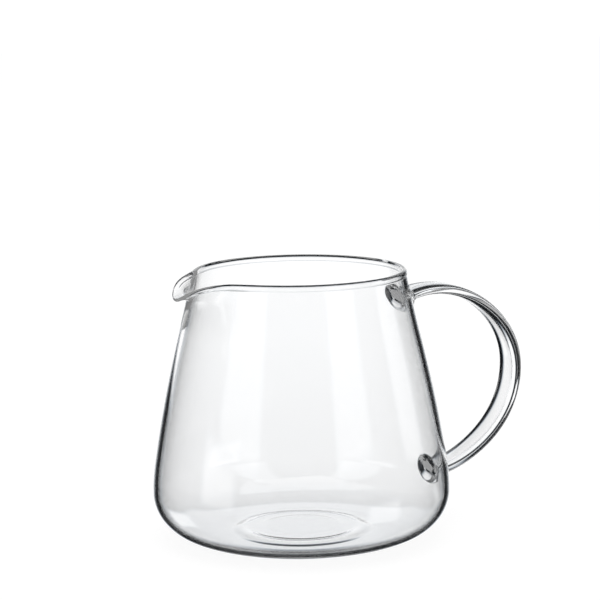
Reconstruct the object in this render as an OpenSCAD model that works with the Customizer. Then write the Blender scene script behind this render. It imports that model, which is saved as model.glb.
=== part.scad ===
// Glass coffee server: a blown body with a pulled pouring lip, and a solid
// strap handle that is fused to the wall by two oval welds of glass.
// The origin is the centre of the foot, on the table. +Z is up, the handle
// is on the +X side and the lip on the -X side. Lengths are millimetres.

/* [Body] */
// Height of the rim above the table
rim_h = 99.3; // [95:0.1:108]
// Widest outside diameter, low on the body
belly_d = 110; // [104:0.5:120]
// Height of the widest place
belly_h = 17.2; // [16:0.1:20]
// Outside diameter at the rim
rim_d = 78.6; // [72:0.2:86]
// Outside diameter of the ring that the body stands on
foot_d = 61; // [52:0.5:68]
// Thickness of the wall
wall = 1.8; // [1.2:0.1:2.4]
// Thickness of the base
base_t = 1.6; // [1.2:0.1:3]

/* [Profile] */
// Radius of the heel, just under the widest place
heel_r = 15.3; // [11:0.1:15.8]
// Radius of the shoulder, just above the widest place
shoulder_r = 65; // [50:1:80]
// Lean of the wall where the shoulder ends, in degrees
shoulder_lean = 8.5; // [7:0.5:10]
// Radius of the long flank
flank_r = 500; // [400:10:600]
// Lean of the wall where the flank ends, in degrees
flank_lean = 14; // [12:0.5:15]

/* [Foot] */
// Inside diameter of the ring that the body stands on
foot_ring_d = 54; // [48:0.5:58]
// Diameter of the raised middle of the base
punt_d = 40; // [36:0.5:44]
// Height of the raised middle of the base
punt_h = 1.5; // [0.8:0.1:2.5]
// Diameter of the bare round panel in the middle of the base
panel_d = 33; // [24:0.5:35]
// Depth of the bare round panel
panel_t = 0.2; // [0.1:0.1:0.5]

/* [Rim and lip] */
// Thickness of the rounded rim bead
bead_t = 2.3; // [2:0.1:3.2]
// Height of the rounded rim bead
bead_h = 2.1; // [1.6:0.1:3.5]
// How far the lip reaches out past the rim
lip_reach = 8.6; // [6:0.1:11]
// How far the tip of the lip drops below the rim
lip_drop = 6.7; // [5:0.1:9]
// Thickness of the glass at the tip of the lip
lip_t = 1.6; // [1.4:0.1:2.4]
// Height of the wall that was softened to pull the lip
lip_zone_h = 21; // [18:0.5:24]
// Half of the angle that the pulled lip takes up, in degrees
lip_half = 30; // [24:1:34]
// Half of the angle over which the rim dips most towards the lip, in degrees
dip_half = 18; // [14:0.5:24]

/* [Handle] */
// Distance from the body's axis to the middle of the grip
grip_x = 87.2; // [82:0.2:96]
// Height of the grip's outermost point
grip_h = 56.8; // [50:0.2:64]
// Width of the strap
strap_w = 14; // [11:0.5:17]
// Thickness of the strap
strap_t = 3.9; // [3:0.1:5.5]
// Depth of the upper weld under the rim
upper_drop = 12.9; // [10:0.1:18]
// Height of the lower weld
lower_h = 19; // [18:0.5:26]
// Rise of the strap where it leaves the upper weld, in degrees
upper_rise = 21.5; // [10:0.5:25]
// Rise of the strap where it leaves the lower weld, in degrees
lower_rise = 12; // [5:0.5:20]

/* [Welds] */
// Width of each oval weld on the wall
weld_w = 16.5; // [14.5:0.5:20]
// Height of each oval weld on the wall
weld_t = 10.5; // [8:0.5:13]
// How far each weld stands out from the wall
weld_out = 3; // [2:0.1:4]

/* [Hidden] */
glass = [0.86, 0.91, 0.92, 0.45];
$fn = 144;

// steps along the curves
arc_steps = 9;
wall_steps = 15;
floor_steps = 6;
lip_cols = 24;
round_cols = 72;
lip_rows = 10;
bead_steps = 5;
strap_rings = 36;
strap_sides = 20;
weld_rings = 7;

// how a curve is shared out, without units
slope_share = 0.001;
seam_share = 0.94;
lip_bend = 3.9;
lip_point = 0.8;
dip_point = 1.9;
row_spread = 1.35;
bead_spread = 1.25;
oval_share = 0.66;
weld_fillet = 2.4;
weld_sink_share = 0.9;
// reach of the two curves of the handle, as shares of their spans
crown_shares = [0.50, 0.70];
grip_shares = [0.61, 0.36];

belly_r = belly_d / 2;
rim_r = rim_d / 2;
foot_r = foot_d / 2;
foot_ring_r = foot_ring_d / 2;
punt_r = punt_d / 2;
panel_r = panel_d / 2;
lip_z = rim_h - lip_zone_h;

// centres and ends of the arcs of the outline, from the belly down
heel_c = [belly_r - heel_r, belly_h];
heel_run = heel_c.x - foot_r;
sole_r = (heel_run ^ 2 + belly_h ^ 2 - heel_r ^ 2) / (2 * (belly_h - heel_r));
sole_c = [foot_r, sole_r];
heel_end = atan2(sole_r - belly_h, heel_run);

// centres and ends of the arcs of the outline, from the belly up
shoulder_c = [belly_r - shoulder_r, belly_h];
shoulder_end = shoulder_c + shoulder_r * turned(shoulder_lean);
flank_c = shoulder_end - flank_r * turned(shoulder_lean);
flank_end = flank_c + flank_r * turned(flank_lean);
neck_run = [rim_r, rim_h] - flank_end;
neck_r = (neck_run * neck_run) / (2 * (neck_run * turned(flank_lean)));
neck_c = flank_end + neck_r * turned(flank_lean);

function turned(a) = [cos(a), sin(a)];
function blend(a, b, s) = a + (b - a) * s;
function soft(s) = (1 - cos(180 * s)) / 2;
function chord(r, dz) = sqrt(r ^ 2 - dz ^ 2);

// radius of the wall at height z, at a depth under its outside
function wall_r(z, depth) =
    z > flank_end.y ? neck_c.x - sign(neck_r) * chord(neck_r + depth, z - neck_c.y)
    : z > shoulder_end.y ? flank_c.x + chord(flank_r - depth, z - flank_c.y)
    : shoulder_c.x + chord(shoulder_r - depth, z - shoulder_c.y);

// thickness on the way from the wall to the base, at an angle below the belly
function heel_t(a) = blend(wall, base_t, sin(a) ^ 2);
function heel_pt(a, s) =
    heel_c + (heel_r - s * heel_t(a)) * turned(-a);
function sole_pt(a, s) =
    sole_c + (sole_r - s * heel_t(a)) * turned(-a);

// foot to belly on the outside (s = 0) or on the inside (s = 1)
function heel_path(s) = [
    for (i = [arc_steps : -1 : 0]) sole_pt(blend(heel_end, 90, i / arc_steps), s),
    for (i = [arc_steps - 1 : -1 : 0]) heel_pt(heel_end * i / arc_steps, s)
];

// belly to the height where the lip starts, at a depth under the outside
function wall_path(depth) = [
    for (i = [1 : wall_steps])
        let (z = blend(belly_h, lip_z, i / wall_steps))
        [wall_r(z, depth), z]
];

// raised middle of the base: the height of its underside at radius r
function punt_z(r) =
    r < punt_r ? punt_h : punt_h * soft((foot_ring_r - r) / (foot_ring_r - punt_r));

function under_path() = [
    [0, punt_h + panel_t],
    [panel_r - panel_t, punt_h + panel_t],
    [panel_r, punt_h],
    for (i = [0 : floor_steps])
        let (r = blend(punt_r, foot_ring_r, i / floor_steps))
        [r, punt_z(r)]
];

function floor_path() = [
    for (i = [floor_steps : -1 : 0])
        let (r = blend(punt_r, foot_r, i / floor_steps))
        if (r < foot_r) [r, base_t + punt_h * soft((foot_r - r) / (foot_r - punt_r))],
    [0, base_t + punt_h]
];

function backward(list) = [for (i = [len(list) - 1 : -1 : 0]) list[i]];

// angle from the middle of the lip, from -180 to 180
function off_lip(a) = a > 180 ? a - 360 : a;

// lip: shares of its reach and its drop at an angle from its middle
function lip_swell(a) =
    abs(off_lip(a)) < lip_half ? ((1 + cos(180 * off_lip(a) / lip_half)) / 2) ^ lip_point : 0;
function lip_dip(a) = (1 + (off_lip(a) / dip_half) ^ 2) ^ -dip_point;

// middle of the glass in the lip zone: a = angle from the lip, s = 0 below, 1 at the rim
function lip_mid(a, s) =
    let (z = blend(lip_z, rim_h - bead_h / 2, s))
    [wall_r(z, wall / 2) + lip_reach * lip_swell(a) * s ^ lip_bend,
     z - lip_drop * lip_dip(a) * s ^ lip_bend];

function lip_along(a, s) =
    let (step = lip_mid(a, s + slope_share) - lip_mid(a, s - slope_share))
    step / norm(step);

function lip_half_t(a, s) =
    let (from = 1 - bead_spread * bead_h / lip_zone_h)
    let (edge_t = blend(bead_t, lip_t, lip_swell(a)))
    blend(wall, edge_t, s < from ? 0 : soft((s - from) / (1 - from))) / 2;

// one side of the glass, k = 1 outside and -1 inside
function lip_side(a, s, k) =
    let (t = lip_along(a, s))
    s == 0 ? [wall_r(lip_z, (1 - k * seam_share) * wall / 2), lip_z]
    : lip_mid(a, s) + k * lip_half_t(a, s) * [t.y, -t.x];

function lip_row_share(i) = 1 - (1 - i / lip_rows) ^ row_spread;

// closed outline of the glass at an angle from the lip
function lip_section(a) =
    let (t = lip_along(a, 1), n = [t.y, -t.x])
    [
        for (i = [0 : lip_rows]) lip_side(a, lip_row_share(i), 1),
        for (i = [1 : bead_steps])
            let (u = 180 * i / (bead_steps + 1))
            lip_mid(a, 1) + lip_half_t(a, 1) * cos(u) * n + bead_h / 2 * sin(u) * t,
        for (i = [lip_rows : -1 : 0]) lip_side(a, lip_row_share(i), -1)
    ];

// angles of the columns, closer together in the lip
lip_angles = [
    for (i = [0 : lip_cols - 1]) blend(-lip_half, lip_half, i / lip_cols),
    for (i = [0 : round_cols - 1]) blend(lip_half, 360 - lip_half, i / round_cols)
];

// handle: two smooth curves from the upper weld over the grip to the lower weld
upper_h = rim_h - upper_drop;
upper_p = [wall_r(upper_h, 0), upper_h];
lower_p = [wall_r(lower_h, 0), lower_h];
grip_p = [grip_x, grip_h];
crown_curve = [
    upper_p,
    upper_p + crown_shares[0] * (grip_x - upper_p.x) * turned(upper_rise),
    grip_p + [0, crown_shares[1] * (upper_h - grip_h)],
    grip_p
];
tail_curve = [
    grip_p,
    grip_p - [0, grip_shares[0] * (grip_h - lower_h)],
    lower_p + grip_shares[1] * (grip_x - lower_p.x) * turned(lower_rise),
    lower_p
];
function on_curve(c, s) =
    c[0] * (1 - s) ^ 3 + 3 * c[1] * s * (1 - s) ^ 2 + 3 * c[2] * s ^ 2 * (1 - s) + c[3] * s ^ 3;
function curve_way(c, s) =
    let (d = (c[1] - c[0]) * (1 - s) ^ 2 + 2 * (c[2] - c[1]) * s * (1 - s) + (c[3] - c[2]) * s ^ 2)
    d / norm(d);

// share of each curve that its weld takes up
crown_from = weld_out / (3 * norm(crown_curve[1] - crown_curve[0]));
tail_to = 1 - weld_out / (3 * norm(tail_curve[3] - tail_curve[2]));

// oval ring of a strap, w wide and t thick, round point p and square to way d
function oval_ring(p, d, w, t) = [
    for (i = [0 : strap_sides - 1])
        let (a = 360 * i / strap_sides)
        let (u = sign(cos(a)) * abs(cos(a)) ^ oval_share * w / 2)
        let (v = sign(sin(a)) * abs(sin(a)) ^ oval_share * t / 2)
        [p.x - v * d.y, u, p.y + v * d.x]
];

handle_rings = [
    for (i = [0 : strap_rings / 2])
        let (s = blend(crown_from, 1, 2 * i / strap_rings))
        oval_ring(on_curve(crown_curve, s), curve_way(crown_curve, s), strap_w, strap_t),
    for (i = [1 : strap_rings / 2])
        let (s = blend(0, tail_to, 2 * i / strap_rings))
        oval_ring(on_curve(tail_curve, s), curve_way(tail_curve, s), strap_w, strap_t)
];

// rings of a weld from the strap's end e on curve c into the wall at its end f
function weld_ring_list(c, e, f) =
    let (way = e > f ? -1 : 1, p = on_curve(c, f), d = way * curve_way(c, f))
    [
        for (i = [0 : weld_rings])
            let (s = i / weld_rings, k = s ^ weld_fillet, q = blend(e, f, s))
            oval_ring(on_curve(c, q), way * curve_way(c, q),
                blend(strap_w, weld_w, k), blend(strap_t, weld_t, k)),
        oval_ring(p + weld_sink_share * wall * d, d, weld_w, weld_t)
    ];

// skin over a list of rings with the same number of points
module skin(rings, closed) {
    m = len(rings[0]);
    n = len(rings);
    last = closed ? n - 1 : n - 2;
    polyhedron(
        points = [for (r = rings) each r],
        faces = [
            for (i = [0 : last])
                for (j = [0 : m - 1])
                    let (a = i * m + j, b = i * m + (j + 1) % m)
                    let (c = ((i + 1) % n) * m + (j + 1) % m, e = ((i + 1) % n) * m + j)
                    each [[a, c, b], [a, e, c]],
            if (!closed) [for (j = [0 : m - 1]) j],
            if (!closed) [for (j = [m - 1 : -1 : 0]) (n - 1) * m + j]
        ]
    );
}

// body below the lip zone
module shell() {
    rotate_extrude()
        polygon(concat(
            under_path(),
            heel_path(0),
            wall_path(0),
            backward(wall_path(wall)),
            backward(heel_path(1)),
            floor_path()
        ));
}

// top of the body, with the rim bead and the pulled lip
module rim_and_lip() {
    skin([
        for (a = lip_angles)
            [for (p = lip_section(a)) [-p.x * cos(a), p.x * sin(a), p.y]]
    ], true);
}

// the space that the body takes up, from its foot to its rim
module body_blank() {
    rotate_extrude()
        polygon(concat(
            [[0, 0]],
            heel_path(0),
            wall_path(0),
            [for (i = [1 : wall_steps])
                let (z = blend(lip_z, rim_h - bead_h, i / wall_steps))
                [wall_r(z, 0), z]],
            [[0, rim_h - bead_h]]
        ));
}

module vessel() {
    color(glass) {
        shell();
        rim_and_lip();
    }
}

module handle() {
    color(glass) skin(handle_rings, false);
}

module weld(rings) {
    color(glass)
        difference() {
            skin(rings, false);
            body_blank();
        }
}

module upper_weld() {
    weld(weld_ring_list(crown_curve, crown_from, 0));
}

module lower_weld() {
    weld(weld_ring_list(tail_curve, tail_to, 1));
}

vessel();
handle();
upper_weld();
lower_weld();
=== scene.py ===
import math
import bpy
from mathutils import Matrix, Vector, kdtree


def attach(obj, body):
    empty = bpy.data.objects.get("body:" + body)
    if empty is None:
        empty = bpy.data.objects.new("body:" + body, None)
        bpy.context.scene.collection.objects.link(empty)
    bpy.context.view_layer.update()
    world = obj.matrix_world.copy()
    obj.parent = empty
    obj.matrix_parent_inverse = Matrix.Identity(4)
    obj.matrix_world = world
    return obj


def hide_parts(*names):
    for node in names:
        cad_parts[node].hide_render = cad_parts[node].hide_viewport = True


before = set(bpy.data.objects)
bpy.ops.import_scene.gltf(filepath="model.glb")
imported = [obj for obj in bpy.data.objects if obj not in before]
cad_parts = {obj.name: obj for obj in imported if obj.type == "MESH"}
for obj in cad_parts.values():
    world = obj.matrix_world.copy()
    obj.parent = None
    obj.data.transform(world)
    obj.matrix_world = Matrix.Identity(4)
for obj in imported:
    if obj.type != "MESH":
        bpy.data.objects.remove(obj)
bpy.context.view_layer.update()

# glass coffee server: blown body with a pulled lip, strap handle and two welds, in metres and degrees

scene = bpy.context.scene
scene.view_settings.view_transform = "Standard"
print("frame loaded:", sorted(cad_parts))


# small helpers for shapes, meshes and nodes

def blend(start, end, share):
    return start + (end - start) * share


def softStep(share):  # 0 at 0 and below, 1 at 1 and above, soft at both ends
    return (1 - math.cos(math.pi * min(max(share, 0), 1))) / 2


def turned(degrees):
    return Vector((math.cos(math.radians(degrees)), math.sin(math.radians(degrees))))


def pick(*pieces):  # selects the pieces, the first one active
    if bpy.context.object and bpy.context.object.mode != "OBJECT":
        bpy.ops.object.mode_set(mode="OBJECT")
    bpy.ops.object.select_all(action="DESELECT")
    for piece in pieces:
        piece.select_set(True)
    if pieces:
        bpy.context.view_layer.objects.active = pieces[0]


def editAll(piece):
    pick(piece)
    bpy.ops.object.mode_set(mode="EDIT")
    bpy.ops.mesh.select_all(action="SELECT")


def leaveEdit():
    bpy.ops.object.mode_set(mode="OBJECT")


def editFaces(piece, wanted):  # opens the piece with only the wanted faces selected
    editAll(piece)
    bpy.ops.mesh.select_mode(type="FACE")
    bpy.ops.mesh.select_all(action="DESELECT")
    leaveEdit()
    for face in piece.data.polygons:
        face.select = wanted(face)
    bpy.ops.object.mode_set(mode="EDIT")


def addNode(tree, kind, **values):
    node = tree.nodes.new(kind)
    for key, value in values.items():
        setattr(node, key, value)
    return node


def mathNode(tree, operation, *values):
    node = addNode(tree, "ShaderNodeMath", operation=operation)
    for socket, value in zip(node.inputs, values):
        if isinstance(value, (int, float)):
            socket.default_value = value
        else:
            tree.links.new(value, socket)
    return node.outputs[0]


def rampUp(tree, value, start, end):
    ramp = addNode(tree, "ShaderNodeMapRange", interpolation_type="SMOOTHSTEP")
    ramp.inputs["From Min"].default_value = start
    ramp.inputs["From Max"].default_value = end
    tree.links.new(value, ramp.inputs["Value"])
    return ramp.outputs[0]


# blown body: its outline is drawn as a chain of points and spun

bodyForm = {
    "rimHeight": 0.09927,
    "rimRadius": 0.0393,
    "bellyHeight": 0.0172,
    "bellyRadius": 0.05498,
    "footRadius": 0.0305,
    "wall": 0.0018,
    "base": 0.0016,
    "heelRadius": 0.0153,
    "shoulderRadius": 0.065,
    "shoulderLean": 8.5,  # lean of the wall where the shoulder's arc ends
    "flankRadius": 0.5,
    "flankLean": 14,  # and where the flank's arc ends
    "footRingRadius": 0.027,  # the underside rises from here inwards
    "puntRadius": 0.020,  # and is level from here
    "puntHeight": 0.0015,
    "panelRadius": 0.0165,
    "panelDepth": 0.00005,
    "panelEdge": (-0.0030, 0.0003),  # start and end of the panel's soft step, from its radius
    "panelRings": (0, 0.003, 0.006, 0.009, 0.012),
    "panelSteps": 12,
    "puntRings": (0.018, 0.019),
    "puntSteps": 12,
    "footRings": (0.0278, 0.0287, 0.0296),
    "insideFootRings": (0.0298, 0.0290, 0.0282, 0.0275),
    "insidePuntSteps": 24,
    "insideRings": (0.018, 0.015, 0.012, 0.009, 0.006, 0.003, 0),
    "heelSteps": 16,
    "wallSteps": 24,
    "turns": 264,  # steps round the body
}

lipForm = {
    "zoneHeight": 0.021,  # the top of the wall that the pull moves
    "reach": 0.0089,
    "drop": 0.0073,
    "tipThickness": 0.0012,
    "sideThickness": 0.0011,  # the drawn-out glass round the lip is thinner than the wall
    "sideFull": 24,  # angles from the lip inside which it is fully thinned and outside which it isn't
    "sideEnd": 50,
    "sideRise": 0.8,  # share of the zone over which it thins
    "beadThickness": 0.0023,
    "beadHeight": 0.0021,
    "beadStart": 0.0026,  # depths under the rim where the bead starts to swell and where it is full
    "beadFull": 0.0018,
    "halfAngle": 30,
    "dipAngle": 18,
    "bend": 3.9,  # more keeps the pull nearer the rim
    "point": 0.8,  # more makes the lip narrower
    "dipPoint": 1.9,  # more makes the dip narrower
    "rows": 54,
    "rowSpread": 1.35,  # over 1 the rows stand closer near the rim
    "beadSteps": 13,
    "slopeStep": 0.001,  # share of the zone over which the slope of the glass is taken
}

meshFit = {
    "spinMerge": 0.000002,
    "seamMerge": 0.0000015,
    "zoneSlack": 0.00001,  # a point this near the foot of the lip's zone stays
    "placeSlack": 0.00002,  # a point this far off the outline stays
    "smoothAngle": 45,
}

form = bodyForm
lipFoot = form["rimHeight"] - lipForm["zoneHeight"]
heelCentre = Vector((form["bellyRadius"] - form["heelRadius"], form["bellyHeight"]))
heelRun = heelCentre.x - form["footRadius"]
soleRise = 2 * (form["bellyHeight"] - form["heelRadius"])
soleRadius = (heelRun ** 2 + form["bellyHeight"] ** 2 - form["heelRadius"] ** 2) / soleRise
soleCentre = Vector((form["footRadius"], soleRadius))
heelEnd = math.degrees(math.atan2(soleRadius - form["bellyHeight"], heelRun))
shoulderCentre = Vector((form["bellyRadius"] - form["shoulderRadius"], form["bellyHeight"]))
shoulderEnd = shoulderCentre + form["shoulderRadius"] * turned(form["shoulderLean"])
flankCentre = shoulderEnd - form["flankRadius"] * turned(form["shoulderLean"])
flankEnd = flankCentre + form["flankRadius"] * turned(form["flankLean"])
neckRun = Vector((form["rimRadius"], form["rimHeight"])) - flankEnd
neckRadius = neckRun.dot(neckRun) / (2 * neckRun.dot(turned(form["flankLean"])))  # under 0 it bulges
neckCentre = flankEnd + neckRadius * turned(form["flankLean"])


def arcReach(radius, rise):  # how far an arc stands out at a rise over its centre
    return math.sqrt(radius ** 2 - rise ** 2)


def wallRadius(z, depth):  # radius of the wall at height z, at a depth under its outside
    if z > flankEnd.y:
        return neckCentre.x - math.copysign(arcReach(neckRadius + depth, z - neckCentre.y), neckRadius)
    if z > shoulderEnd.y:
        return flankCentre.x + arcReach(form["flankRadius"] - depth, z - flankCentre.y)
    return shoulderCentre.x + arcReach(form["shoulderRadius"] - depth, z - shoulderCentre.y)


def heelThickness(angle):  # from the wall's at 0 to the base's at 90
    return blend(form["wall"], form["base"], math.sin(math.radians(angle)) ** 2)


def heelPath(side):  # foot to belly, side 0 outside and 1 inside
    steps = form["heelSteps"]
    points = []
    for i in range(steps):
        angle = blend(90, heelEnd, i / steps)
        points.append(soleCentre + (soleRadius - side * heelThickness(angle)) * turned(-angle))
    for i in range(steps):
        angle = heelEnd * (1 - i / steps)
        points.append(heelCentre + (form["heelRadius"] - side * heelThickness(angle)) * turned(-angle))
    return points


def wallPath(depth):  # belly to the foot of the lip's zone
    steps = form["wallSteps"]
    heights = [blend(form["bellyHeight"], lipFoot, i / steps) for i in range(steps)]
    return [Vector((wallRadius(z, depth), z)) for z in heights]


def levelPath(radii, z):
    return [Vector((r, z)) for r in radii]


def puntRadii(steps):
    return [blend(form["puntRadius"], form["footRingRadius"], i / steps) for i in range(steps + 1)]


def puntRise(radius):  # height of the underside
    if radius < form["puntRadius"]:
        return form["puntHeight"]
    run = form["footRingRadius"] - form["puntRadius"]
    return form["puntHeight"] * softStep((form["footRingRadius"] - radius) / run)


def underPath():  # underside, from the middle to the foot
    top = form["puntHeight"] + form["panelDepth"]
    start, end = (form["panelRadius"] + offset for offset in form["panelEdge"])
    points = levelPath(form["panelRings"], top)
    for i in range(form["panelSteps"] + 1):
        share = i / form["panelSteps"]
        points.append(Vector((blend(start, end, share), top - form["panelDepth"] * softStep(share))))
    points += levelPath(form["puntRings"], form["puntHeight"])
    points += [Vector((r, puntRise(r))) for r in puntRadii(form["puntSteps"])]
    return points + levelPath(form["footRings"], 0)


def floorPath():  # inner face of the base, from the heel to the middle, parallel to the underside
    points = levelPath(form["insideFootRings"], form["base"])
    for r in reversed(puntRadii(form["insidePuntSteps"])):
        points.append(Vector((r, form["base"] + puntRise(r))))
    return points + levelPath(form["insideRings"], form["base"] + form["puntHeight"])


def lipSwell(angle):  # how much of the reach there is at an angle from the lip
    if abs(angle) >= lipForm["halfAngle"]:
        return 0
    return ((1 + math.cos(math.pi * angle / lipForm["halfAngle"])) / 2) ** lipForm["point"]


def lipDip(angle):  # how much of the drop there is
    return (1 + (angle / lipForm["dipAngle"]) ** 2) ** -lipForm["dipPoint"]


def lipCap(angle):  # height of the round top of the bead
    return blend(lipForm["beadHeight"], lipForm["tipThickness"], lipSwell(angle)) / 2


def lipWall(angle, share):  # thickness of the wall below the bead
    near = softStep((lipForm["sideEnd"] - abs(angle)) / (lipForm["sideEnd"] - lipForm["sideFull"]))
    return blend(form["wall"], lipForm["sideThickness"], near * softStep(share / lipForm["sideRise"]))


def lipMiddle(angle, share):  # middle of the glass, share 0 at the foot of the zone and 1 at the rim
    z = blend(lipFoot, form["rimHeight"] - lipCap(angle), share)
    bend = max(share, 0) ** lipForm["bend"]
    out = lipForm["reach"] * lipSwell(angle) * bend
    down = lipForm["drop"] * lipDip(angle) * bend
    return Vector((wallRadius(z, form["wall"] / 2) + out, z - down))


def lipPoint(angle, share, side, turn):  # side 1 outside, -1 inside; turn is the angle round the bead
    step = lipForm["slopeStep"]
    along = (lipMiddle(angle, share + step) - lipMiddle(angle, share - step)).normalized()
    outward = Vector((along.y, -along.x))
    edge = blend(lipForm["beadThickness"], lipForm["tipThickness"], lipSwell(angle))
    depth = (1 - share) * lipForm["zoneHeight"] + lipForm["beadHeight"] / 2
    swelling = (lipForm["beadStart"] - depth) / (lipForm["beadStart"] - lipForm["beadFull"])
    half = blend(lipWall(angle, share), edge, softStep(swelling)) / 2
    if turn:
        around = math.radians(turn)
        rise = lipCap(angle) * math.sin(around) * along
        return lipMiddle(angle, 1) + half * math.cos(around) * outward + rise
    return lipMiddle(angle, share) + side * half * outward


def lipStations():  # places in the section: up the outside, over the bead and down the inside
    rows, steps = lipForm["rows"], lipForm["beadSteps"]
    shares = [1 - (1 - i / rows) ** lipForm["rowSpread"] for i in range(rows + 1)]
    stations = [(share, 1, 0) for share in shares]
    stations += [(1, 1, 180 * i / (steps + 1)) for i in range(1, steps + 1)]
    return stations + [(share, -1, 0) for share in reversed(shares)]


def extrudeChain(name, points):
    pick()
    bpy.ops.mesh.primitive_plane_add(size=1, location=(0, 0, 0))
    piece = bpy.context.object
    piece.name = name
    bpy.ops.object.mode_set(mode="EDIT")
    bpy.ops.mesh.select_all(action="SELECT")
    bpy.ops.mesh.merge(type="CENTER")  # the plane becomes the first point of the chain
    bpy.ops.transform.translate(value=points[0])
    for before, after in zip(points, points[1:]):
        bpy.ops.mesh.extrude_region_move(TRANSFORM_OT_translate={"value": after - before})
    return piece


def pullLip(piece, stations, outline):
    finder = kdtree.KDTree(len(outline))  # each point of the top finds its place on the outline again
    for i, point in enumerate(outline):
        finder.insert((point.x, 0, point.y), i)
    finder.balance()
    for vertex in piece.data.vertices:
        if vertex.co.z < lipFoot + meshFit["zoneSlack"]:
            continue
        place, index, distance = finder.find((math.hypot(vertex.co.x, vertex.co.y), 0, vertex.co.z))
        if distance > meshFit["placeSlack"]:
            continue
        angle = math.degrees(math.atan2(vertex.co.y, -vertex.co.x))
        moved = lipPoint(angle, *stations[index])
        turn = math.radians(angle)
        vertex.co = (-moved.x * math.cos(turn), moved.x * math.sin(turn), moved.y)


def makeBody():
    stations = lipStations()
    low = underPath() + heelPath(0) + wallPath(0)
    high = [lipPoint(180, *station) for station in stations]
    inner = list(reversed(wallPath(form["wall"]))) + list(reversed(heelPath(1))) + floorPath()
    piece = extrudeChain("blownBody", [Vector((point.x, 0, point.y)) for point in low + high + inner])
    bpy.ops.mesh.select_all(action="SELECT")
    bpy.ops.mesh.spin(
        steps=form["turns"],
        angle=math.tau,
        center=(0, 0, 0),
        axis=(0, 0, 1),
        use_auto_merge=True,
    )
    bpy.ops.mesh.select_all(action="SELECT")
    bpy.ops.mesh.remove_doubles(threshold=meshFit["spinMerge"])
    bpy.ops.mesh.normals_make_consistent(inside=False)
    leaveEdit()
    pullLip(piece, stations, high)
    return piece


body = makeBody()
print("body spun and lip pulled:", len(body.data.polygons), "faces")


# strap handle and welds: oval rings drawn along one curve, of which the welds are the ends

strapForm = {
    "gripX": 0.0872,  # middle of the strap where it stands out most
    "gripHeight": 0.0568,
    "width": 0.014,
    "thickness": 0.0039,
    "upperHeight": 0.0864,  # where the curve meets the wall
    "lowerHeight": 0.019,
    "upperRise": 21.5,  # how steeply it leaves the wall
    "lowerRise": 12,
    "crownShares": (0.50, 0.70),  # fullness of the upper curve at its two ends
    "tailShares": (0.61, 0.36),  # and of the lower one
    "roundness": 0.66,  # 1 is an ellipse and less is squarer
    "sides": 56,
    "rings": 120,
}

weldForm = {
    "width": 0.0165,
    "height": 0.0105,
    "out": 0.003,  # length outside the wall
    "flare": 2.4,  # more keeps the flare nearer the wall
    "sink": 0.9,  # how far it goes into the wall, as a share of the wall
    "rings": 22,
}

bulgeForm = {
    "reach": 1.05,  # edge of the swelling, as a share of the weld's half width and half height
    "fall": 0.3,  # width of its soft edge
    "upperDepth": 0.0005,
    "lowerDepth": 0.0012,
    "zone": 1.5,  # edge of the finer mesh, as such a share
    "cuts": 3,
    "facing": 0.5,  # how squarely a face looks inwards to be part of it
    "rounds": 6,  # steps that settle the inner face of the heel
}


def wallPoint(height):
    return Vector((wallRadius(height, 0), height))


upperPoint = wallPoint(strapForm["upperHeight"])
lowerPoint = wallPoint(strapForm["lowerHeight"])
gripPoint = Vector((strapForm["gripX"], strapForm["gripHeight"]))
crownStart, crownEnd = strapForm["crownShares"]
crownCurve = [
    upperPoint,
    upperPoint + crownStart * (gripPoint.x - upperPoint.x) * turned(strapForm["upperRise"]),
    gripPoint + Vector((0, crownEnd * (upperPoint.y - gripPoint.y))),
    gripPoint,
]
tailStart, tailEnd = strapForm["tailShares"]
tailCurve = [
    gripPoint,
    gripPoint - Vector((0, tailStart * (gripPoint.y - lowerPoint.y))),
    lowerPoint + tailEnd * (gripPoint.x - lowerPoint.x) * turned(strapForm["lowerRise"]),
    lowerPoint,
]
crownFrom = weldForm["out"] / (3 * (crownCurve[1] - crownCurve[0]).length)
tailTo = 1 - weldForm["out"] / (3 * (tailCurve[3] - tailCurve[2]).length)


def onCurve(curve, s):
    a, b, c, d = curve
    return a * (1 - s) ** 3 + 3 * b * s * (1 - s) ** 2 + 3 * c * s * s * (1 - s) + d * s ** 3


def curveWay(curve, s):
    a, b, c, d = curve
    return ((b - a) * (1 - s) ** 2 + 2 * (c - b) * s * (1 - s) + (d - c) * s * s).normalized()


def squarer(value):
    return math.copysign(abs(value) ** strapForm["roundness"], value)


def ovalRing(centre, way, width, thickness):
    ring = []
    for i in range(strapForm["sides"]):
        angle = math.tau * i / strapForm["sides"]
        u = squarer(math.cos(angle)) * width / 2
        v = squarer(math.sin(angle)) * thickness / 2
        ring.append(Vector((centre.x - v * way.y, u, centre.y + v * way.x)))
    return ring


def drawRings(name, rings):  # a ring of glass is drawn out from station to station
    pick()
    bpy.ops.mesh.primitive_circle_add(vertices=strapForm["sides"], radius=1, fill_type="NOTHING")
    piece = bpy.context.object
    piece.name = name
    for vertex, place in zip(piece.data.vertices, rings[0]):
        vertex.co = place
    for ring in rings[1:]:
        bpy.ops.object.mode_set(mode="EDIT")
        bpy.ops.mesh.extrude_edges_move()
        leaveEdit()
        for vertex, place in zip(piece.data.vertices[-len(ring):], ring):
            vertex.co = place
    return piece


def strapRing(curve, s):
    return ovalRing(onCurve(curve, s), curveWay(curve, s), strapForm["width"], strapForm["thickness"])


def strapRings():
    half = strapForm["rings"] // 2
    crown = [strapRing(crownCurve, blend(crownFrom, 1, i / half)) for i in range(half + 1)]
    return crown + [strapRing(tailCurve, blend(0, tailTo, i / half)) for i in range(1, half + 1)]


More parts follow.
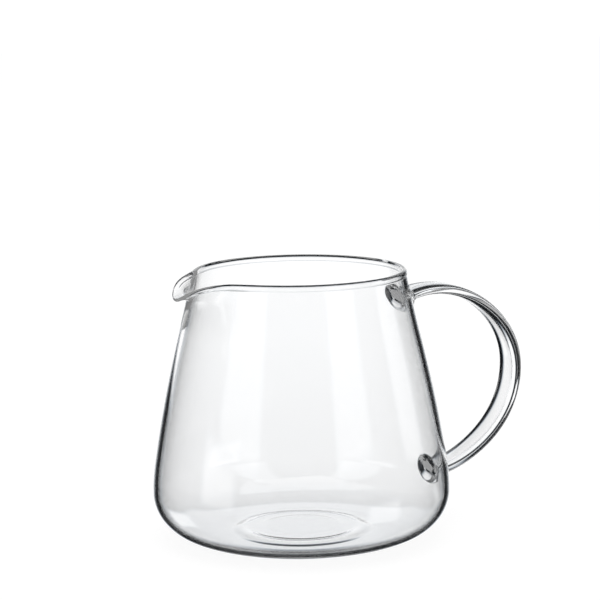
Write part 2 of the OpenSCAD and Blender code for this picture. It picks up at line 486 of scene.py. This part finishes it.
def weldRings(curve, start, end):  # from the strap's end into the wall
    way = -1 if start > end else 1
    rings = []
    for i in range(weldForm["rings"] + 1):
        share = i / weldForm["rings"]
        flare = share ** weldForm["flare"]
        s = blend(start, end, share)
        width = blend(strapForm["width"], weldForm["width"], flare)
        height = blend(strapForm["thickness"], weldForm["height"], flare)
        rings.append(ovalRing(onCurve(curve, s), way * curveWay(curve, s), width, height))
    last = onCurve(curve, end) + weldForm["sink"] * form["wall"] * way * curveWay(curve, end)
    return rings + [ovalRing(last, way * curveWay(curve, end), weldForm["width"], weldForm["height"])]


def innerRadius(z):  # radius of the wall's inner face
    if z >= form["bellyHeight"]:
        return wallRadius(z, form["wall"])
    angle = 0
    for i in range(bulgeForm["rounds"]):  # the thickness there depends on the angle
        inner = form["heelRadius"] - heelThickness(angle)
        angle = math.degrees(math.asin((form["bellyHeight"] - z) / inner))
    return heelCentre.x + (form["heelRadius"] - heelThickness(angle)) * math.cos(math.radians(angle))


def swellBehind(piece, height, depth):  # the wall swells inwards where a weld was pressed on
    halfWidth, halfHeight = weldForm["width"] / 2, weldForm["height"] / 2

    def isBehind(face):
        aside = abs(face.center.y) < bulgeForm["zone"] * halfWidth
        level = abs(face.center.z - height) < bulgeForm["zone"] * halfHeight
        return aside and level and face.center.x > 0 and face.normal.x < -bulgeForm["facing"]

    editFaces(piece, isBehind)
    bpy.ops.mesh.subdivide(number_cuts=bulgeForm["cuts"])
    leaveEdit()
    for vertex in piece.data.vertices:
        if not vertex.select:
            continue
        turn = math.atan2(vertex.co.y, vertex.co.x)
        radius = innerRadius(vertex.co.z)
        off = math.hypot(turn * radius / halfWidth, (vertex.co.z - height) / halfHeight)
        radius -= depth * softStep((bulgeForm["reach"] - off) / bulgeForm["fall"])
        vertex.co.x, vertex.co.y = radius * math.cos(turn), radius * math.sin(turn)


swellBehind(body, strapForm["upperHeight"], bulgeForm["upperDepth"])
swellBehind(body, strapForm["lowerHeight"], bulgeForm["lowerDepth"])
strap = drawRings("strapHandle", strapRings())
upperWeld = drawRings("upperFuse", weldRings(crownCurve, crownFrom, 0))
lowerWeld = drawRings("lowerFuse", weldRings(tailCurve, tailTo, 1))
print("strap and welds drawn:", len(strap.data.vertices), "points; body", len(body.data.polygons), "faces")


# glass

glassFinish = {
    "ior": 1.473,
    "colour": (0.992, 0.996, 1.0),
    "guidedAt": 4,  # the render ends a path at this many inner reflections, and that last hit glows: painted light, emission standing in for the light the guided glass would gather
    "guidedSpan": 0.5,  # tells whole numbers apart
    # painted light: how brightly each glass glows where a path ends inside it
    "paintedGuidedGlow": {"wall": 0.3, "strap": 0.45, "weld": 1.0},
    "wall": {"Wave Size": 38, "Wave Stretch": 0.35, "Wave Height": 0.00003, "Haze": 0.006},
    "strap": {"Wave Size": 70, "Wave Stretch": 0.6, "Wave Height": 0.00002, "Haze": 0.006},
    "weld": {"Wave Size": 160, "Wave Stretch": 1, "Wave Height": 0.00002, "Haze": 0.004},
    "waveNoise": {"Detail": 1, "Roughness": 0.4},
    "hazeNoise": {"Scale": 55, "Detail": 3},
    "hazeRange": {"From Min": 0.48, "From Max": 0.72},
}


def setInputs(node, values):
    for key, value in values.items():
        node.inputs[key].default_value = value


def makeGlassSurface():  # faint waves and haze that all the glass shares
    group = bpy.data.node_groups.new("glassSurface", "ShaderNodeTree")
    for name in glassFinish["wall"]:
        group.interface.new_socket(name, in_out="INPUT", socket_type="NodeSocketFloat")
    group.interface.new_socket("Roughness", in_out="OUTPUT", socket_type="NodeSocketFloat")
    group.interface.new_socket("Normal", in_out="OUTPUT", socket_type="NodeSocketVector")
    start = addNode(group, "NodeGroupInput")
    end = addNode(group, "NodeGroupOutput")
    place = addNode(group, "ShaderNodeTexCoord")
    stretch = addNode(group, "ShaderNodeCombineXYZ")
    setInputs(stretch, {"X": 1, "Y": 1})
    mapping = addNode(group, "ShaderNodeMapping")
    waves = addNode(group, "ShaderNodeTexNoise")
    setInputs(waves, glassFinish["waveNoise"])
    bump = addNode(group, "ShaderNodeBump")
    setInputs(bump, {"Strength": 1})
    haze = addNode(group, "ShaderNodeTexNoise")
    setInputs(haze, glassFinish["hazeNoise"])
    smear = addNode(group, "ShaderNodeMapRange", interpolation_type="SMOOTHSTEP")
    setInputs(smear, glassFinish["hazeRange"])
    link = group.links.new
    link(start.outputs["Wave Stretch"], stretch.inputs["Z"])
    link(place.outputs["Object"], mapping.inputs["Vector"])
    link(stretch.outputs["Vector"], mapping.inputs["Scale"])
    link(mapping.outputs["Vector"], waves.inputs["Vector"])
    link(start.outputs["Wave Size"], waves.inputs["Scale"])
    link(waves.outputs["Fac"], bump.inputs["Height"])
    link(start.outputs["Wave Height"], bump.inputs["Distance"])
    link(place.outputs["Object"], haze.inputs["Vector"])
    link(haze.outputs["Fac"], smear.inputs["Value"])
    link(start.outputs["Haze"], smear.inputs["To Max"])
    link(smear.outputs["Result"], end.inputs["Roughness"])
    link(bump.outputs["Normal"], end.inputs["Normal"])
    return group


glassSurface = makeGlassSurface()


def glassMaterial(name, finish):
    material = bpy.data.materials.new(name)
    material.use_nodes = True
    tree = material.node_tree
    shader = tree.nodes["Principled BSDF"]
    shader.inputs["Base Color"].default_value = glassFinish["colour"] + (1,)
    shader.inputs["IOR"].default_value = glassFinish["ior"]
    shader.inputs["Transmission Weight"].default_value = 1
    surface = addNode(tree, "ShaderNodeGroup", node_tree=glassSurface)
    setInputs(surface, glassFinish[finish])
    tree.links.new(surface.outputs["Roughness"], shader.inputs["Roughness"])
    tree.links.new(surface.outputs["Normal"], shader.inputs["Normal"])
    # painted light: the glass emits light where a guided path ends, though it is no lamp
    path = addNode(tree, "ShaderNodeLightPath")
    depth = path.outputs["Glossy Depth"]
    guided = mathNode(tree, "COMPARE", depth, glassFinish["guidedAt"], glassFinish["guidedSpan"])
    glow = mathNode(tree, "MULTIPLY", guided, glassFinish["paintedGuidedGlow"][finish])
    glow = mathNode(tree, "MULTIPLY", glow, path.outputs["Is Glossy Ray"])
    tree.links.new(glow, shader.inputs["Emission Strength"])
    return material


wallGlass = glassMaterial("wallGlass", "wall")
strapGlass = glassMaterial("strapGlass", "strap")
weldGlass = glassMaterial("weldGlass", "weld")
seam = bpy.data.materials.new("fusedSeam")  # the face between two fused pieces isn't seen
seam.use_nodes = True
seam.node_tree.nodes["Principled BSDF"].inputs["Alpha"].default_value = 0
print("glass ready")


# fusing: the pieces share faces where they meet

def duplicateOf(piece):
    pick(piece)
    bpy.ops.object.duplicate()
    return bpy.context.object


def cutWith(piece, other, operation):
    pick(piece)
    cut = piece.modifiers.new("fuse", "BOOLEAN")
    cut.operation = operation
    cut.solver = "EXACT"
    cut.material_mode = "TRANSFER"
    cut.object = other
    bpy.ops.object.modifier_apply(modifier=cut.name)


def capEnds(piece):  # closes the open ends with seam faces
    editAll(piece)
    bpy.ops.mesh.select_mode(type="EDGE")
    bpy.ops.mesh.select_all(action="DESELECT")
    bpy.ops.mesh.select_non_manifold()
    bpy.ops.mesh.edge_face_add()
    bpy.ops.mesh.select_all(action="SELECT")
    bpy.ops.mesh.normals_make_consistent(inside=False)
    leaveEdit()
    for face in piece.data.polygons:
        if len(face.vertices) == strapForm["sides"]:
            face.material_index = 1


def keepFaces(piece, material):  # deletes the faces of all other materials
    kept = [i for i, slot in enumerate(piece.data.materials) if slot == material]
    editFaces(piece, lambda face: face.material_index not in kept)
    bpy.ops.mesh.delete(type="FACE")
    leaveEdit()


def makeSeam(piece, material):  # turns the faces of this material into seam faces
    names = [slot.name for slot in piece.data.materials]
    for face in piece.data.polygons:
        if face.material_index == names.index(material.name):
            face.material_index = names.index(seam.name)


welds = (upperWeld, lowerWeld)
pieces = (body, strap, upperWeld, lowerWeld)
for piece, material in zip(pieces, (wallGlass, strapGlass, weldGlass, weldGlass)):
    piece.data.materials.clear()
    piece.data.materials.append(material)
    piece.data.materials.append(seam)
for piece in (strap, upperWeld, lowerWeld):
    capEnds(piece)

plainBody = duplicateOf(body)
for weld in welds:
    cutWith(body, weld, "UNION")
keepFaces(body, wallGlass)  # this leaves an opening in the wall where each weld joins it
for weld in welds:
    cutWith(weld, plainBody, "DIFFERENCE")
    patch = duplicateOf(weld)  # the weld's face on the wall closes the opening
    keepFaces(patch, wallGlass)
    editAll(patch)
    bpy.ops.mesh.flip_normals()
    leaveEdit()
    makeSeam(patch, wallGlass)
    makeSeam(weld, wallGlass)
    pick(body, patch)
    bpy.ops.object.join()
editAll(body)
bpy.ops.mesh.remove_doubles(threshold=meshFit["seamMerge"])
leaveEdit()
pick(plainBody)
bpy.ops.object.delete()
for piece in pieces:
    pick(piece)
    bpy.ops.object.shade_smooth_by_angle(angle=math.radians(meshFit["smoothAngle"]))
print("pieces fused:", [(piece.name, len(piece.data.polygons)) for piece in pieces])

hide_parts("vessel")
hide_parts("handle")
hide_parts("upper_weld")
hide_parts("lower_weld")
for piece, slotName in zip(pieces, ("vessel_glass", "handle_glass", "weld_glass", "weld_glass")):
    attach(piece, "root")


# camera

cameraPlace = {
    "distance": 0.7745,
    "height": 0.2137,
    "turn": 22,  # degrees from square on to the handle
    "pitch": 9.232,
    "yaw": 0.0351,
    "roll": -0.8102,
    "lens": 128.49,
    "sensor": 36,
    "clipStart": 0.01,
}


def makeCamera():
    place = cameraPlace
    pitch, yaw, roll, turn = (math.radians(place[key]) for key in ("pitch", "yaw", "roll", "turn"))
    ahead = Vector((math.sin(yaw) * math.cos(pitch), math.cos(yaw) * math.cos(pitch), -math.sin(pitch)))
    right = Vector((math.cos(yaw), -math.sin(yaw), 0))
    up = right.cross(ahead)
    side = math.cos(roll) * right + math.sin(roll) * up
    top = -math.sin(roll) * right + math.cos(roll) * up
    frameTurn = Matrix.Rotation(-turn, 4, "Z")
    axes = Matrix((side, top, -ahead)).transposed().to_4x4()
    bpy.ops.object.camera_add()
    camera = bpy.context.object
    camera.data.lens = place["lens"]
    camera.data.sensor_width = place["sensor"]
    camera.data.clip_start = place["clipStart"]
    camera.matrix_world = frameTurn @ Matrix.Translation((0, -place["distance"], place["height"])) @ axes
    scene.camera = camera


makeCamera()
print("camera placed")


# floor, world and lamp

studio = {
    "floorSize": 8.0,
    "floorGrid": 8,
    "floorColour": 0.15,
    "floorRoughness": 0.9,
    "floorGlow": 0.92,
    "dark": 0.010,  # brightness round the panels
    "darkTint": (0.72, 0.85, 1.0),
    "lowShade": (0.84, -18, -8),  # share of the light below the first angle, and all above the second
    "ambient": 0.5,  # even light for what isn't glass
    # direction from +X, half width and softness, lowest and highest angle, softness as a sine, brightness
    "panels": [
        (68, 15.5, 5, -25, 9, 0.05, 1.14),
        (68, 15.5, 5, 0, 30, 0.03, 0.86),
        (90, 15, 4, -5.6, 4, 0.01, 1.15),
        (135, 14, 4, -34, -17, 0.04, 1.4),
        (180, 14, 4, -8, 3, 0.04, 1.2),
        (315, 14, 4, -23, -7, 0.04, 1.4),
        (196, 18, 3, 4, 60, 0.03, 0.9),
        (292, 15, 3, 4, 60, 0.03, 0.9),
    ],
    "lampHeight": 1.6,
    "lampSize": 1.6,
    "lampPower": 9,
}


def makeFloor():
    pick()
    grid = studio["floorGrid"]
    bpy.ops.mesh.primitive_grid_add(x_subdivisions=grid, y_subdivisions=grid, size=studio["floorSize"])
    floor = bpy.context.object
    floor.name = "studioFloor"
    material = bpy.data.materials.new("paleFloor")
    material.use_nodes = True
    tree = material.node_tree
    shader = tree.nodes["Principled BSDF"]
    shader.inputs["Base Color"].default_value = (studio["floorColour"],) * 3 + (1,)
    shader.inputs["Roughness"].default_value = studio["floorRoughness"]
    shader.inputs["Specular IOR Level"].default_value = 0
    shader.inputs["Emission Color"].default_value = (1, 1, 1, 1)
    path = addNode(tree, "ShaderNodeLightPath")
    glow = mathNode(tree, "MULTIPLY", path.outputs["Is Camera Ray"], studio["floorGlow"])
    tree.links.new(glow, shader.inputs["Emission Strength"])
    floor.data.materials.append(material)
    floor.visible_transmission = False  # glass shows the panels that stand round the table
    floor.visible_glossy = False


def makePanel(tree, way, height, azimuth, width, soft, lowest, highest, fade, level):
    middle, reach, edge = math.radians(azimuth), math.radians(width), math.radians(soft)
    foot, top = math.sin(math.radians(lowest)), math.sin(math.radians(highest))
    dot = addNode(tree, "ShaderNodeVectorMath", operation="DOT_PRODUCT")
    dot.inputs[1].default_value = (math.cos(middle), math.sin(middle), 0)
    tree.links.new(way, dot.inputs[0])
    panel = rampUp(tree, dot.outputs["Value"], math.cos(reach + edge), math.cos(reach - edge))
    panel = mathNode(tree, "MULTIPLY", panel, rampUp(tree, height, foot - fade, foot + fade))
    panel = mathNode(tree, "MULTIPLY", panel, rampUp(tree, height, top + fade, top - fade))
    return mathNode(tree, "MULTIPLY", panel, level)


def makeWorld():  # the camera sees white, the glass sees the panels, and the rest gets even light
    world = bpy.data.worlds.new("studioWorld")
    scene.world = world
    world.use_nodes = True
    tree = world.node_tree
    tree.nodes.clear()
    output = addNode(tree, "ShaderNodeOutputWorld")
    background = addNode(tree, "ShaderNodeBackground")
    tree.links.new(background.outputs[0], output.inputs["Surface"])
    way = addNode(tree, "ShaderNodeTexCoord").outputs["Generated"]
    flat = addNode(tree, "ShaderNodeVectorMath", operation="MULTIPLY")
    flat.inputs[1].default_value = (1, 1, 0)
    unit = addNode(tree, "ShaderNodeVectorMath", operation="NORMALIZE")
    parts = addNode(tree, "ShaderNodeSeparateXYZ")
    tree.links.new(way, flat.inputs[0])
    tree.links.new(flat.outputs[0], unit.inputs[0])
    tree.links.new(way, parts.inputs[0])
    height = parts.outputs["Z"]
    total = None
    for row in studio["panels"]:
        panel = makePanel(tree, unit.outputs[0], height, *row)
        total = panel if total is None else mathNode(tree, "MAXIMUM", total, panel)
    share, lowest, highest = studio["lowShade"]
    shade = rampUp(tree, height, math.sin(math.radians(lowest)), math.sin(math.radians(highest)))
    shade = mathNode(tree, "ADD", mathNode(tree, "MULTIPLY", shade, 1 - share), share)
    total = mathNode(tree, "MULTIPLY", total, shade)
    path = addNode(tree, "ShaderNodeLightPath")
    total = mathNode(tree, "MAXIMUM", total, path.outputs["Is Camera Ray"])
    colour = addNode(tree, "ShaderNodeMix", data_type="RGBA", clamp_factor=True)
    colour.inputs[6].default_value = studio["darkTint"] + (1,)  # 6 and 7 are the two colours to mix
    colour.inputs[7].default_value = (1, 1, 1, 1)
    tree.links.new(mathNode(tree, "MAXIMUM", total, path.outputs["Is Diffuse Ray"]), colour.inputs[0])
    tree.links.new(colour.outputs[2], background.inputs["Color"])
    total = mathNode(tree, "MAXIMUM", total, studio["dark"])
    plain = mathNode(tree, "MULTIPLY", path.outputs["Is Diffuse Ray"], studio["ambient"])
    tree.links.new(mathNode(tree, "MAXIMUM", total, plain), background.inputs["Strength"])


def makeLamp():  # softbox over the table, which looks straight down
    pick()
    bpy.ops.object.light_add(type="AREA", location=(0, 0, studio["lampHeight"]))
    lamp = bpy.context.object
    lamp.name = "topSoftbox"
    lamp.data.shape = "SQUARE"
    lamp.data.size = studio["lampSize"]
    lamp.data.energy = studio["lampPower"]


makeFloor()
makeWorld()
makeLamp()
print("studio lit")
